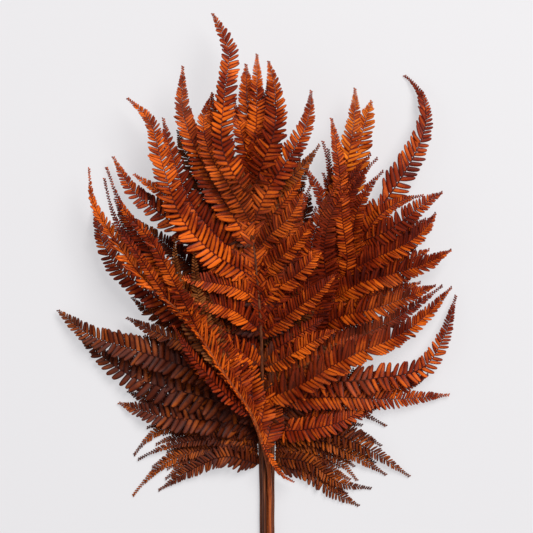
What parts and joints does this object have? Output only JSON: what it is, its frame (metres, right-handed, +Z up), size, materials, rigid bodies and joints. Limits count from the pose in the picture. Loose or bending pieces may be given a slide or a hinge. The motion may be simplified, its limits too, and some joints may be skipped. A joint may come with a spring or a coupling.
{
  "type": "bracken frond bunch",
  "caption": "Bunch of dyed, preserved bracken fronds with twice-divided leaves, tied round the stalks and lying flat, tips fanned out.",
  "frame": {"origin": "under the middle of the bunch's bounding box, on the surface that it lies on", "axes": "+Y runs from the cut ends of the stalks to the tips of the fronds, +Z is up from the surface, and +X is to the right seen from above"},
  "size_m": [0.4046, 0.6052, 0.0829],
  "materials": {
    "rust_leaf": "satin",
    "orange_leaf": "satin",
    "umber_leaf": "satin",
    "stalk": "satin",
    "twine": "matte"
  },
  "bodies": {
    "root": {"frond_front_stalk": "stalk", "frond_front_pinna_left_1": "rust_leaf", "frond_front_pinna_left_2": "rust_leaf", "frond_front_pinna_left_3": "rust_leaf", "frond_front_pinna_left_4": "rust_leaf", "frond_front_pinna_left_5": "rust_leaf", "frond_front_pinna_left_6": "rust_leaf", "frond_front_pinna_left_7": "rust_leaf", "frond_front_pinna_left_8": "rust_leaf", "frond_front_pinna_right_1": "rust_leaf", "frond_front_pinna_right_2": "rust_leaf", "frond_front_pinna_right_3": "rust_leaf", "frond_front_pinna_right_4": "rust_leaf", "frond_front_pinna_right_5": "rust_leaf", "frond_front_pinna_right_6": "rust_leaf", "frond_front_pinna_right_7": "rust_leaf", "frond_front_pinna_right_8": "rust_leaf", "frond_front_pinna_right_9": "rust_leaf", "frond_front_tip": "rust_leaf", "frond_leaning_stalk": "stalk", "frond_leaning_pinna_left_1": "orange_leaf", "frond_leaning_pinna_right_1": "orange_leaf", "frond_leaning_pinna_right_2": "orange_leaf", "frond_leaning_pinna_right_3": "orange_leaf", "frond_leaning_tip": "orange_leaf", "frond_right_stalk": "stalk", "frond_right_pinna_left_1": "orange_leaf", "frond_right_pinna_left_2": "rust_leaf", "frond_right_pinna_left_3": "rust_leaf", "frond_right_pinna_left_4": "orange_leaf", "frond_right_pinna_right_1": "rust_leaf", "frond_right_pinna_right_2": "rust_leaf", "frond_right_pinna_right_3": "rust_leaf", "frond_right_pinna_right_4": "rust_leaf", "frond_right_pinna_right_5": "rust_leaf", "frond_right_pinna_right_6": "rust_leaf", "frond_right_pinna_right_7": "rust_leaf", "frond_right_tip": "rust_leaf", "frond_back_stalk": "stalk", "frond_back_pinna_left_1": "umber_leaf", "frond_back_pinna_left_2": "umber_leaf", "frond_back_pinna_left_3": "umber_leaf", "frond_back_pinna_left_4": "umber_leaf", "frond_back_pinna_left_5": "umber_leaf", "frond_back_pinna_left_6": "umber_leaf", "frond_back_pinna_left_7": "umber_leaf", "frond_back_pinna_left_8": "umber_leaf", "frond_back_pinna_left_9": "rust_leaf", "frond_back_pinna_left_10": "rust_leaf", "frond_back_pinna_left_11": "rust_leaf", "frond_back_tip": "umber_leaf", "frond_low_stalk": "stalk", "frond_low_pinna_right_1": "umber_leaf", "frond_low_pinna_right_2": "umber_leaf", "frond_low_pinna_right_3": "umber_leaf", "frond_low_pinna_right_4": "umber_leaf", "frond_low_pinna_right_5": "umber_leaf", "frond_low_pinna_right_6": "umber_leaf", "frond_low_tip": "umber_leaf", "twine_tie": "twine"}
  },
  "joints": []
}
